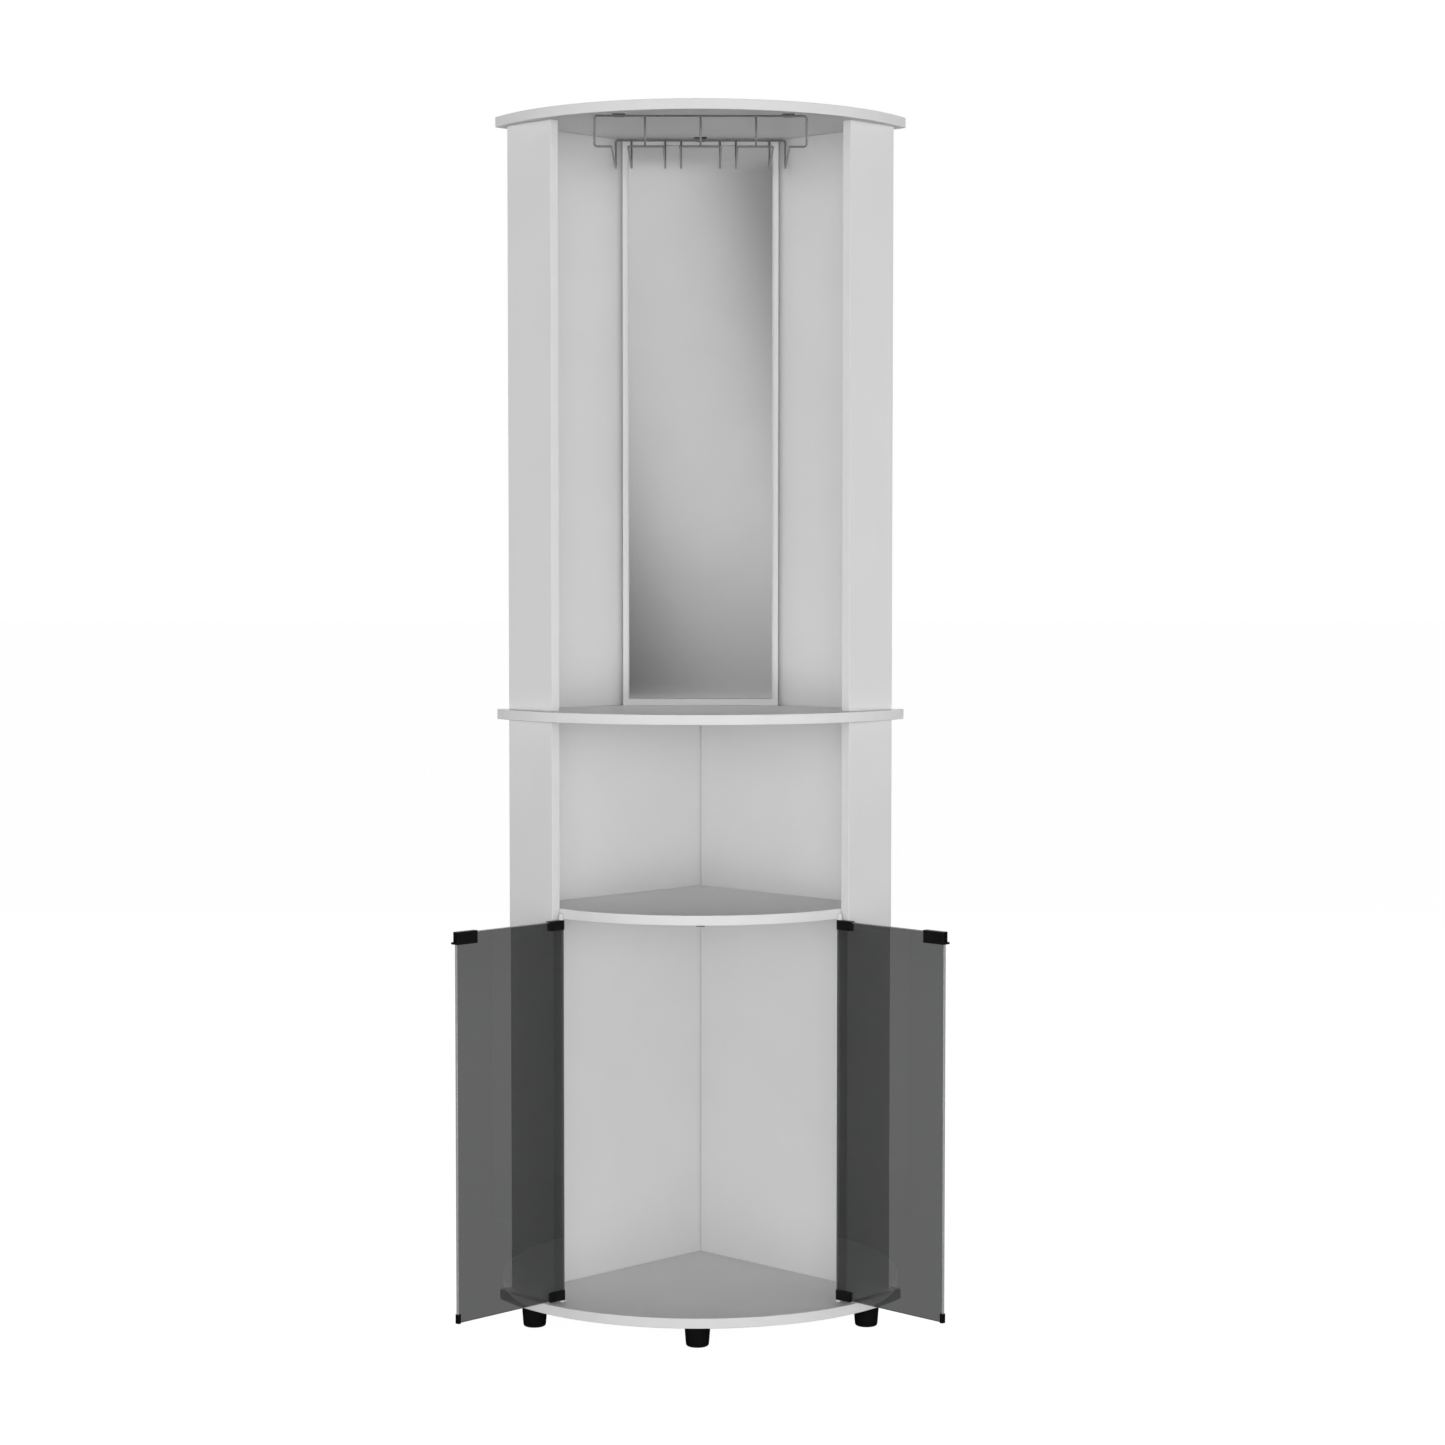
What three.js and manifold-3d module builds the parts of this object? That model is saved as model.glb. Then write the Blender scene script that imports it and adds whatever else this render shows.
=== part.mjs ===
// Corner bar cabinet: two bays with bowed tops, a mirror, a wire rack and two glass doors.
// Millimetres, +Z up, X to the right, the bowed front faces -Y.
// Everything is drawn from the rear corner, where the two straight edges of the tops meet.

import * as THREE from 'three';
import Module from 'manifold-3d';
import { mergeVertices } from 'three/addons/utils/BufferGeometryUtils.js';

const wasm = await Module();
wasm.setup();

// Boards
const boardThickness = 15;
const legLength = 430; // straight edge of a top, rear corner to front corner
const topDepth = 486; // rear corner to the middle of the bowed front
const bayHeight = 861.5; // clear height of the upper half and of the lower half
const wallInset = 25; // walls stand in from the straight edges
const stileWidth = 95;
const stileSetback = 1.5; // stile face behind the front corners
const shelfHeight = 585; // bottom panel's top face to the shelf's top face
const shelfSetback = 18.4; // middle of the shelf's front behind that of the tops
const mirrorBoardWidth = 239;

// Clearances
const fitGap = 0.3; // between pieces that touch
const overrun = 5; // how far a cutting tool runs past what it cuts

// Feet
const footHeight = 32;
const footTopRadius = 19.5;
const footBottomRadius = 16.8;
const footEdgeRound = 2.5;
const sideFootX = 248.5;
const sideFootSetback = 40.4; // side feet behind the bowed front
const frontFootX = -4.5;
const frontFootSetback = 30;
const rearFootY = 79;
const footPinRadius = 4;
const footPinLength = 10;

// Mirror
const mirrorWidth = 220;
const mirrorThickness = 3;
const mirrorMargin = 10;

// Wire rack
const wireRadius = 1.5;
const rackSetback = 58; // front wire behind the middle of the bowed front
const rackMirrorGap = 1; // rear wires in front of the mirror
const rackHeight = 43.6; // upper wires to the rails, centre to centre
const rackHalfWidth = 152.8;
const slotWidth = 24; // centre to centre of two rails
const innerSlotX = 41.5;
const outerSlotX = 116.5;
const postX = 80;
const clipWidth = 19;
const clipTab = 14; // from the wire's centre to the front of the clip
const clipTabThickness = 2;
const clipWall = 1.2; // around the wire
const clipPinRadius = 2.5;
const clipPinLength = 9;
const leftClipX = -117.5;
const rightClipX = 126;
const rearClipX = 0;

// Doors
const glassThickness = 5;
const glassWidth = 206.5;
const glassBottomGap = 4; // bottom edge above the bottom panel
const glassTopGap = 3; // top edge below the shelf
const pivotToGlassEdge = 3; // from the pivot axis to the hinge edge of the glass
const pivotForward = 1.7; // pivot axis in front of the stile's inner corner, along its end face
const pivotClear = 5; // pivot axis off the stile's end face
const openAngle = 135; // doors stand fully open
const fittingThickness = 9;
const hingeFittingLength = 28;
const hingeFittingHeight = 14.3;
const fittingWall = 1.5; // metal over the glass edge
const pivotPinRadius = 2;
const pivotPinLength = 7;
const bushRadius = 4;
const bushDepth = 8;
const bushFlangeRadius = 4.6;
const pullLength = 42;
const pullHeight = 18.5;
const pullEndWall = 1;
const pullLip = 4.8;
const pullLipThickness = 2.8;
const capHeight = 14;
const capLength = 9;
const capWall = 0.9;

// Magnetic catch under the shelf
const catchWidth = 12.8;
const catchLength = 30;
const catchHeight = 12.2;
const catchBehindDoor = 1;
const magnetRadius = 2.4;
const magnetLength = 14;
const magnetProud = 0.5;
const magnetSpacing = 6.2;
const catchScrewRadius = 1.5;
const catchScrewHeadRadius = 2.8;
const catchScrewHeadHeight = 1.5;
const catchScrewBite = 9;
const catchScrewShare = 0.75;

// Joinery
const dowelRadius = 4;
const dowelInBoard = 10;
const dowelInWall = 20;
const wallDowelShare = 0.49;
const shelfScrewRadius = 2.5;
const shelfScrewHeadRadius = 4.5;
const shelfScrewHeadHeight = 3;
const shelfScrewBite = 34;
const shelfScrewShare = 0.49;

// Facets
const frontSteps = 44;
const holeSides = 10;
const footSides = 32;
const wireSides = 8;
const elbowRings = 6;
const pinSides = 16;
const roundSteps = 8;

// Heights and places that follow from the sizes above
const root2 = Math.SQRT2;
const halfWidth = legLength / root2;
const bottomTop = footHeight + boardThickness;
const middleTop = bottomTop + bayHeight + boardThickness;
const topTop = middleTop + bayHeight + boardThickness;
const shelfTop = bottomTop + shelfHeight;
const shelfUnder = shelfTop - boardThickness;
const topUnder = topTop - boardThickness;
const wallOuter = wallInset;
const wallInner = wallInset + boardThickness;
const stileFront = legLength - stileSetback;
const stileBack = stileFront - boardThickness;
const stileInner = wallInset + stileWidth;
const wallFront = stileBack - fitGap;
const frontRadius = bowRadius(halfWidth, topDepth - halfWidth);
const LEFT = -1;
const RIGHT = 1;
const SIDES = [[LEFT, 'left'], [RIGHT, 'right']];

function bowRadius(halfChord, bow) {
  return (halfChord * halfChord + bow * bow) / (2 * bow);
}

// Y of the bowed front at a distance from the middle
function frontAt(x) {
  return frontRadius - topDepth - Math.sqrt(frontRadius * frontRadius - x * x);
}

// A place on the left or right half: along the straight edge from the rear corner, inward from it, and up
function place(side, along, inward, z) {
  return new THREE.Vector3(side * (along - inward) / root2, -(along + inward) / root2, z);
}

// Materials
function finish(color, roughness, metalness = 0) {
  return new THREE.MeshStandardMaterial({ color, roughness, metalness });
}

const whiteBoard = finish(0xe9e9e8, 0.45);
const mirrorGlass = finish(0xc9cdcf, 0.04, 1);
const smokedGlass = new THREE.MeshStandardMaterial({
  color: 0x303234, roughness: 0.05, transparent: true, opacity: 0.45,
});
const blackPlastic = finish(0x141414, 0.5);
const darkChrome = finish(0x7c7a78, 0.28, 1);
const zincPlate = finish(0xb6b8ba, 0.35, 1);
const beech = finish(0xcfae7c, 0.7);
const whitePlastic = finish(0xe6e6e4, 0.4);

// Solids
function solid(geometry) {
  const bare = geometry.clone();
  bare.deleteAttribute('normal');
  bare.deleteAttribute('uv');
  const merged = mergeVertices(bare);
  return new wasm.Manifold(new wasm.Mesh({
    numProp: 3,
    vertProperties: new Float32Array(merged.attributes.position.array),
    triVerts: new Uint32Array(merged.index.array),
  }));
}

function geometryOf(body) {
  const mesh = body.getMesh();
  const geometry = new THREE.BufferGeometry();
  geometry.setAttribute('position', new THREE.BufferAttribute(mesh.vertProperties, mesh.numProp));
  geometry.setIndex(new THREE.BufferAttribute(mesh.triVerts, 1));
  geometry.computeVertexNormals();
  return geometry;
}

function join(bodies) {
  return bodies.reduce((whole, body) => whole.add(body));
}

function cut(body, tools) {
  return tools.length ? body.subtract(join(tools)) : body;
}

function box(sizeX, sizeY, sizeZ, centre, turn = 0) {
  const geometry = new THREE.BoxGeometry(sizeX, sizeY, sizeZ);
  geometry.rotateZ(turn);
  geometry.translate(centre.x, centre.y, centre.z);
  return solid(geometry);
}

// A flat outline raised from one height to another
function slab(shape, fromZ, toZ, curveSegments = roundSteps) {
  const geometry = new THREE.ExtrudeGeometry(shape, {
    depth: toZ - fromZ, bevelEnabled: false, curveSegments, steps: 1,
  });
  geometry.translate(0, 0, fromZ);
  return solid(geometry);
}

// A round profile of [radius, distance] pairs, turned about the line from one point to another
function turned(profile, from, to, sides) {
  const geometry = new THREE.LatheGeometry(profile.map(([r, d]) => new THREE.Vector2(r, d)), sides);
  const direction = to.clone().sub(from).normalize();
  geometry.applyQuaternion(new THREE.Quaternion().setFromUnitVectors(new THREE.Vector3(0, 1, 0), direction));
  geometry.translate(from.x, from.y, from.z);
  return solid(geometry);
}

function rod(radius, from, to, sides) {
  const length = from.distanceTo(to);
  return turned([[0, 0], [radius, 0], [radius, length], [0, length]], from, to, sides);
}

// The same rod with room around it and at both ends
function rodRoom(radius, from, to, sides) {
  const step = to.clone().sub(from).normalize().multiplyScalar(fitGap);
  return rod(radius + fitGap, from.clone().sub(step), to.clone().add(step), sides);
}

function bentWire(points, radius) {
  const parts = [];
  for (let i = 1; i < points.length; i += 1) {
    parts.push(rod(radius, points[i - 1], points[i], wireSides));
    if (i < points.length - 1) {
      const elbow = new THREE.SphereGeometry(radius, wireSides, elbowRings);
      elbow.translate(points[i].x, points[i].y, points[i].z);
      parts.push(solid(elbow));
    }
  }
  return join(parts);
}

// Outline with straight edges to the rear and a bowed front
function bowedOutline(corners, radius) {
  const [first] = corners;
  const last = corners[corners.length - 1];
  const centreY = first.y + Math.sqrt(radius * radius - first.x * first.x);
  const shape = new THREE.Shape();
  shape.moveTo(first.x, first.y);
  corners.slice(1).forEach((corner) => shape.lineTo(corner.x, corner.y));
  const start = Math.atan2(last.y - centreY, last.x);
  const end = Math.atan2(first.y - centreY, first.x);
  shape.absarc(0, centreY, radius, start, end, start > end);
  return shape;
}

// Room that the fasteners need in the boards
const rooms = [];

function screw(radius, headRadius, headHeight, from, to) {
  const length = from.distanceTo(to);
  return turned([
    [0, 0], [headRadius, 0], [headRadius, headHeight / 2], [radius, headHeight],
    [radius, length], [0, length],
  ], from, to, holeSides);
}

const halves = [
  { name: 'upper', low: middleTop, high: topUnder },
  { name: 'lower', low: bottomTop, high: middleTop - boardThickness },
];
const wallMid = (wallInner + wallOuter) / 2;
const stileMid = (stileFront + stileBack) / 2;

// Start of a wall along its edge: the left wall runs to the rear, the right one butts against it
function wallStart(side) {
  return side === LEFT ? wallOuter : wallInner + fitGap;
}

function wallAlong(side, share) {
  return wallStart(side) + share * (wallFront - wallStart(side));
}

// Upright dowels through the joints; in the middle panel one dowel serves both halves
const dowelSpans = [
  ['top', topUnder - dowelInWall, topUnder + dowelInBoard],
  ['middle', middleTop - boardThickness - dowelInWall, middleTop + dowelInWall],
  ['bottom', bottomTop - dowelInBoard, bottomTop + dowelInWall],
];
const dowels = {};
for (const [side, word] of SIDES) {
  const spots = [
    ['wall', wallAlong(side, wallDowelShare), wallMid],
    ['stile', stileMid, wallInset + stileWidth / 2],
  ];
  for (const [board, along, inward] of spots) {
    for (const [level, low, high] of dowelSpans) {
      const from = place(side, along, inward, low);
      const to = place(side, along, inward, high);
      dowels[`${level}_${word}_${board}_dowel`] = rod(dowelRadius, from, to, holeSides);
      rooms.push(rodRoom(dowelRadius, from, to, holeSides));
    }
  }
}

// A screw through each lower wall into the shelf
const shelfScrews = {};
const shelfMid = shelfTop - boardThickness / 2;
for (const [side, word] of SIDES) {
  const along = wallAlong(side, shelfScrewShare);
  const above = place(side, along, wallOuter - overrun, shelfMid);
  const head = place(side, along, wallOuter, shelfMid);
  const neck = place(side, along, wallOuter + shelfScrewHeadHeight, shelfMid);
  const tip = place(side, along, wallInner + shelfScrewBite, shelfMid);
  shelfScrews[`${word}_shelf_screw`] = screw(
    shelfScrewRadius, shelfScrewHeadRadius, shelfScrewHeadHeight, head, tip,
  );
  rooms.push(rodRoom(shelfScrewRadius, head, tip, holeSides));
  rooms.push(rodRoom(shelfScrewHeadRadius, above, neck, holeSides));
}

// Mirror board across the upper rear corner; its rear edges reach the walls
const cornerReach = wallInner * root2; // rear corner to the corner of the inner wall faces
const mirrorBoardRear = -(cornerReach + mirrorBoardWidth / 2 + fitGap * root2);
const mirrorBoardFront = mirrorBoardRear - boardThickness;

// Door pivots: a bush in the shelf's underside and one in the bottom panel
function pivotPoint(side, z) {
  const corner = place(side, stileBack, stileInner, 0);
  const step = place(side, pivotForward, pivotClear, z);
  return corner.add(step);
}

const glassBottom = bottomTop + glassBottomGap;
const glassTop = shelfUnder - glassTopGap;
const lowerFlange = glassBottomGap - fittingWall - fitGap;
const upperFlange = glassTopGap - fittingWall - fitGap;
const bushes = {};

function addBush(name, point, flange, towards) {
  const inside = point.clone().addScaledVector(towards, bushDepth);
  const lip = point.clone().addScaledVector(towards, -flange);
  const body = turned([
    [0, 0], [bushFlangeRadius, 0], [bushFlangeRadius, flange], [bushRadius, flange],
    [bushRadius, flange + bushDepth], [0, flange + bushDepth],
  ], lip, inside, pinSides);
  const start = lip.clone().addScaledVector(towards, -overrun);
  const pinEnd = lip.clone().addScaledVector(towards, pivotPinLength);
  bushes[name] = body.subtract(rodRoom(pivotPinRadius, start, pinEnd, pinSides));
  rooms.push(rodRoom(bushRadius, point.clone().addScaledVector(towards, fitGap), inside, pinSides));
}

const up = new THREE.Vector3(0, 0, 1);
const down = new THREE.Vector3(0, 0, -1);
for (const [side, word] of SIDES) {
  addBush(`${word}_top_bush`, pivotPoint(side, shelfUnder), upperFlange, up);
  addBush(`${word}_bottom_bush`, pivotPoint(side, bottomTop), lowerFlange, down);
}

// Wire rack: its upper wires lie against the top panel
const rackFront = -(topDepth - rackSetback);
const rackRear = mirrorBoardFront - mirrorThickness - rackMirrorGap - wireRadius;
const rackTopZ = topUnder - wireRadius;
const rackRailZ = rackTopZ - rackHeight;
const rackDropTop = rackTopZ - wireRadius - fitGap;

function wirePoint(x, y, z) {
  return new THREE.Vector3(x, y, z);
}

const railXs = {
  innerNear: innerSlotX - slotWidth / 2,
  innerFar: innerSlotX + slotWidth / 2,
  outerNear: outerSlotX - slotWidth / 2,
  outerFar: outerSlotX + slotWidth / 2,
};

// A bar in front whose two ends turn back as rails and up at the rear
function railLoop(fromX, toX) {
  return bentWire([
    wirePoint(fromX, rackRear, rackDropTop), wirePoint(fromX, rackRear, rackRailZ),
    wirePoint(fromX, rackFront, rackRailZ), wirePoint(toX, rackFront, rackRailZ),
    wirePoint(toX, rackRear, rackRailZ), wirePoint(toX, rackRear, rackDropTop),
  ], wireRadius);
}

// The outer wires come down in front, turn in, run back as the last rail and up
function endLoop(side) {
  const end = side * rackHalfWidth;
  const rail = side * railXs.outerFar;
  return bentWire([
    wirePoint(end, rackFront, rackTopZ), wirePoint(end, rackFront, rackRailZ),
    wirePoint(rail, rackFront, rackRailZ), wirePoint(rail, rackRear, rackRailZ),
    wirePoint(rail, rackRear, rackDropTop),
  ], wireRadius);
}

function crossWire(halfLength, y) {
  return rod(wireRadius, wirePoint(-halfLength, y, rackTopZ), wirePoint(halfLength, y, rackTopZ), wireSides);
}

const posts = [-postX, 0, postX].map((x) => rod(
  wireRadius, wirePoint(x, rackFront, rackTopZ), wirePoint(x, rackFront, rackRailZ + wireRadius + fitGap),
  wireSides,
));
const rackWires = {
  front: join([crossWire(rackHalfWidth - wireRadius - fitGap, rackFront), ...posts]),
  rear: crossWire(railXs.outerFar + wireRadius, rackRear),
  left_rail: railLoop(-railXs.outerNear, -railXs.innerFar),
  middle_rail: railLoop(-railXs.innerNear, railXs.innerNear),
  right_rail: railLoop(railXs.innerFar, railXs.outerNear),
  left_end: endLoop(LEFT),
  right_end: endLoop(RIGHT),
};

// Saddle clips that hold the two upper wires: a tab in front of the wire, with a pin into the top panel
function rackClip(x, y) {
  const behind = wireRadius + fitGap + clipWall;
  const saddleHeight = 2 * wireRadius + fitGap + clipWall;
  const tab = box(
    clipWidth, clipTab, clipTabThickness,
    new THREE.Vector3(x, y - clipTab / 2, topUnder - clipTabThickness / 2),
  );
  const saddle = box(
    clipWidth, 2 * behind, saddleHeight, new THREE.Vector3(x, y, topUnder - saddleHeight / 2),
  );
  const reach = clipWidth / 2 + overrun;
  const groove = box(
    2 * reach, 2 * (wireRadius + fitGap), 2 * (2 * wireRadius + fitGap), new THREE.Vector3(x, y, topUnder),
  );
  const pinY = y - (clipTab + behind) / 2;
  const root = wirePoint(x, pinY, topUnder - clipTabThickness / 2);
  const tip = wirePoint(x, pinY, topUnder + clipPinLength);
  rooms.push(rodRoom(clipPinRadius, root, tip, holeSides));
  return join([cut(tab.add(saddle), [groove]), rod(clipPinRadius, root, tip, holeSides)]);
}

const rackClips = {
  front_left: rackClip(leftClipX, rackFront),
  front_right: rackClip(rightClipX, rackFront),
  rear: rackClip(rearClipX, rackRear),
};

// Magnetic catch behind the meeting edges of the closed doors
const pivotY = pivotPoint(LEFT, 0).y;
const catchFront = pivotY + fittingThickness / 2 + catchBehindDoor;
const catchCentre = new THREE.Vector3(0, catchFront + catchLength / 2, shelfUnder - catchHeight / 2);
const catchMagnets = {};
const catchTools = [];
for (const [side, word] of SIDES) {
  const from = wirePoint(side * magnetSpacing / 2, catchFront - magnetProud, catchCentre.z);
  const to = wirePoint(side * magnetSpacing / 2, catchFront + magnetLength, catchCentre.z);
  catchMagnets[word] = rod(magnetRadius, from, to, holeSides);
  catchTools.push(rodRoom(magnetRadius, from, to, holeSides));
}
const catchScrewY = catchFront + catchScrewShare * catchLength;
const catchScrewHead = wirePoint(0, catchScrewY, shelfUnder - catchHeight);
const catchScrewTip = wirePoint(0, catchScrewY, shelfUnder + catchScrewBite);
const catchScrew = screw(
  catchScrewRadius, catchScrewHeadRadius, catchScrewHeadHeight, catchScrewHead, catchScrewTip,
);
const catchScrewRoom = rodRoom(catchScrewRadius, catchScrewHead, catchScrewTip, holeSides);
rooms.push(catchScrewRoom);
catchTools.push(catchScrewRoom, rodRoom(
  catchScrewHeadRadius,
  catchScrewHead.clone().addScaledVector(down, overrun),
  catchScrewHead.clone().addScaledVector(up, catchScrewHeadHeight),
  holeSides,
));
const catchBody = cut(box(catchWidth, catchLength, catchHeight, catchCentre), catchTools);

// Tapered feet, each with a pin up into the bottom panel
const feet = {
  front_left: new THREE.Vector3(-sideFootX, frontAt(sideFootX) + sideFootSetback, 0),
  front_right: new THREE.Vector3(sideFootX, frontAt(sideFootX) + sideFootSetback, 0),
  front_centre: new THREE.Vector3(frontFootX, frontAt(frontFootX) + frontFootSetback, 0),
  rear: new THREE.Vector3(0, -rearFootY, 0),
};

function foot(centre) {
  const pinRoot = centre.clone().addScaledVector(up, footHeight);
  const pinTip = centre.clone().addScaledVector(up, footHeight + footPinLength);
  rooms.push(rodRoom(footPinRadius, pinRoot, pinTip, holeSides));
  return turned([
    [0, 0], [footBottomRadius - footEdgeRound, 0], [footBottomRadius, footEdgeRound],
    [footTopRadius, footHeight], [footPinRadius, footHeight],
    [footPinRadius, footHeight + footPinLength], [0, footHeight + footPinLength],
  ], centre, pinTip, footSides);
}

const footBodies = Object.fromEntries(Object.entries(feet).map(([name, centre]) => [name, foot(centre)]));

// Boards, each cut by the fasteners that enter it
function touches(a, b) {
  const first = a.boundingBox();
  const second = b.boundingBox();
  return first.min.every((low, i) => low < second.max[i] && second.min[i] < first.max[i]);
}

function drilled(body) {
  return cut(body, rooms.filter((room) => touches(body, room)));
}

function top(fromZ) {
  const outline = bowedOutline([
    new THREE.Vector2(-halfWidth, -halfWidth),
    new THREE.Vector2(0, 0),
    new THREE.Vector2(halfWidth, -halfWidth),
  ], frontRadius);
  return drilled(slab(outline, fromZ, fromZ + boardThickness, frontSteps));
}

function shelf() {
  const reach = wallInner + fitGap;
  const back = stileBack - fitGap;
  const corner = (side, along, inward) => place(side, along, inward, 0);
  const front = corner(LEFT, back, stileInner);
  const outline = bowedOutline([
    front, corner(LEFT, back, reach), corner(LEFT, reach, reach),
    corner(RIGHT, back, reach), corner(RIGHT, back, stileInner),
  ], bowRadius(-front.x, topDepth - shelfSetback + front.y));
  return drilled(slab(outline, shelfUnder, shelfTop, frontSteps));
}

function wall(side, half) {
  const start = wallStart(side);
  const centre = place(side, (start + wallFront) / 2, wallMid, (half.low + half.high) / 2);
  return drilled(box(wallFront - start, boardThickness, half.high - half.low, centre, side * Math.PI / -4));
}

function stile(side, half) {
  const centre = place(side, stileMid, wallInset + stileWidth / 2, (half.low + half.high) / 2);
  return drilled(box(stileWidth, boardThickness, half.high - half.low, centre, side * Math.PI / 4));
}

function mirrorBoard() {
  const centre = new THREE.Vector3(0, mirrorBoardRear - boardThickness / 2, (middleTop + topUnder) / 2);
  return drilled(box(mirrorBoardWidth, boardThickness, bayHeight, centre));
}

// Mirror pane, glued to the board
const mirrorHeight = bayHeight - 2 * mirrorMargin;
const mirrorCentre = new THREE.Vector3(0, mirrorBoardFront - mirrorThickness / 2, (middleTop + topUnder) / 2);
const mirrorPane = box(mirrorWidth, mirrorThickness, mirrorHeight, mirrorCentre);

// One door in its own frame: X from the pivot along the glass, inner face on the side of inside * Y
function doorPieces(side) {
  const inside = -side;
  const glassNear = -pivotToGlassEdge;
  const glassFar = glassNear + glassWidth;
  const across = fittingThickness / 2;
  const glassRoomHalf = glassThickness / 2 + fitGap;

  // Room for the glass from one place along the door to another, and from one height to another
  const glassRoom = (fromX, toX, fromZ, toZ) => box(
    toX - fromX, 2 * glassRoomHalf, toZ - fromZ, new THREE.Vector3((fromX + toX) / 2, 0, (fromZ + toZ) / 2),
  );
  const glass = box(
    glassWidth, glassThickness, glassTop - glassBottom,
    new THREE.Vector3((glassNear + glassFar) / 2, 0, (glassBottom + glassTop) / 2),
  );

  const fittingShape = new THREE.Shape();
  fittingShape.moveTo(hingeFittingLength, -across);
  fittingShape.lineTo(hingeFittingLength, across);
  fittingShape.lineTo(0, across);
  fittingShape.absarc(0, 0, across, Math.PI / 2, 3 * Math.PI / 2, false);

  const hingeFitting = (upper) => {
    const away = upper ? 1 : -1;
    const edge = upper ? glassTop : glassBottom;
    const outer = edge + away * fittingWall;
    const inner = outer - away * hingeFittingHeight;
    const body = slab(fittingShape, Math.min(outer, inner), Math.max(outer, inner));
    const slotLow = Math.min(edge + away * fitGap, inner - away * overrun);
    const slotHigh = Math.max(edge + away * fitGap, inner - away * overrun);
    const slot = glassRoom(glassNear - fitGap, hingeFittingLength + overrun, slotLow, slotHigh);
    const pinRoot = new THREE.Vector3(0, 0, outer - away * fittingWall / 2);
    const pinTip = new THREE.Vector3(0, 0, outer + away * (pivotPinLength - fitGap));
    return cut(body, [slot]).add(rod(pivotPinRadius, pinRoot, pinTip, pinSides));
  };

  // Steel pull at the upper free corner: it wraps the edge and has a lip in front
  const pullTop = glassTop + fittingWall;
  const pullLow = pullTop - pullHeight;
  const pullEnd = glassFar + pullEndWall;
  const pullStart = pullEnd - pullLength;
  const pullBlock = box(
    pullLength, fittingThickness, pullHeight,
    new THREE.Vector3((pullStart + pullEnd) / 2, 0, (pullLow + pullTop) / 2),
  );
  const lip = box(
    pullLength, pullLip + across, pullLipThickness,
    new THREE.Vector3(
      (pullStart + pullEnd) / 2, -inside * (pullLip + across) / 2, pullLow + pullLipThickness / 2,
    ),
  );
  const pullSlot = glassRoom(pullStart - overrun, glassFar + fitGap, pullLow - overrun, glassTop + fitGap);
  const pull = cut(pullBlock.add(lip), [pullSlot]);

  // Cap on the lower free corner
  const capThickness = glassThickness + 2 * (capWall + fitGap);
  const capEnd = glassFar + fitGap + capWall;
  const capLow = glassBottom - fitGap - capWall;
  const capBlock = box(
    capLength, capThickness, capHeight, new THREE.Vector3(capEnd - capLength / 2, 0, capLow + capHeight / 2),
  );
  const capSlot = glassRoom(
    capEnd - capLength - overrun, glassFar + fitGap, glassBottom - fitGap, capLow + capHeight + overrun,
  );

  return {
    door_glass: [glass, smokedGlass],
    top_hinge_fitting: [hingeFitting(true), blackPlastic],
    bottom_hinge_fitting: [hingeFitting(false), blackPlastic],
    door_pull: [pull, blackPlastic],
    door_corner_cap: [capBlock.subtract(capSlot), blackPlastic],
  };
}

// The scene graph
const cabinet = new THREE.Group();

function add(name, body, material, parent = cabinet) {
  const mesh = new THREE.Mesh(geometryOf(body), material);
  mesh.name = name;
  parent.add(mesh);
}

add('top_panel', top(topUnder), whiteBoard);
add('middle_panel', top(middleTop - boardThickness), whiteBoard);
add('bottom_panel', top(footHeight), whiteBoard);
add('shelf_panel', shelf(), whiteBoard);
for (const half of halves) {
  for (const [side, word] of SIDES) {
    add(`${half.name}_${word}_wall`, wall(side, half), whiteBoard);
    add(`${half.name}_${word}_stile`, stile(side, half), whiteBoard);
  }
}
add('mirror_board', mirrorBoard(), whiteBoard);
add('mirror_pane', mirrorPane, mirrorGlass);

Object.entries(dowels).forEach(([name, body]) => add(name, body, beech));
Object.entries(shelfScrews).forEach(([name, body]) => add(name, body, zincPlate));

Object.entries(rackWires).forEach(([name, body]) => add(`rack_${name}_wire`, body, darkChrome));
Object.entries(rackClips).forEach(([name, body]) => add(`rack_${name}_clip`, body, darkChrome));

add('catch_body', catchBody, blackPlastic);
Object.entries(catchMagnets).forEach(([word, body]) => add(`catch_${word}_magnet`, body, zincPlate));
add('catch_screw', catchScrew, zincPlate);
Object.entries(bushes).forEach(([name, body]) => add(name, body, whitePlastic));
Object.entries(footBodies).forEach(([name, body]) => add(`${name}_foot`, body, blackPlastic));

for (const [side, word] of SIDES) {
  const door = new THREE.Group();
  door.position.copy(pivotPoint(side, 0));
  const closed = side === LEFT ? 0 : Math.PI;
  door.rotation.z = closed + side * openAngle * Math.PI / 180;
  Object.entries(doorPieces(side)).forEach(([name, [body, material]]) => {
    add(`${word}_${name}`, body, material, door);
  });
  cabinet.add(door);
}

// Set the cabinet down with the origin under the middle of its box
cabinet.updateMatrixWorld(true);
const bounds = new THREE.Box3().setFromObject(cabinet, true);
const middle = bounds.getCenter(new THREE.Vector3());
cabinet.position.set(-middle.x, -middle.y, -bounds.min.z);
cabinet.updateMatrixWorld(true);

export default cabinet;
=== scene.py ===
# Corner bar cabinet with bowed tops, a mirror, a wire rack and smoked glass doors.
# Metres, +Z up, X to the right, the bowed front faces -Y.

import math

import bmesh
import bpy
from mathutils import Matrix, Vector


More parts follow.
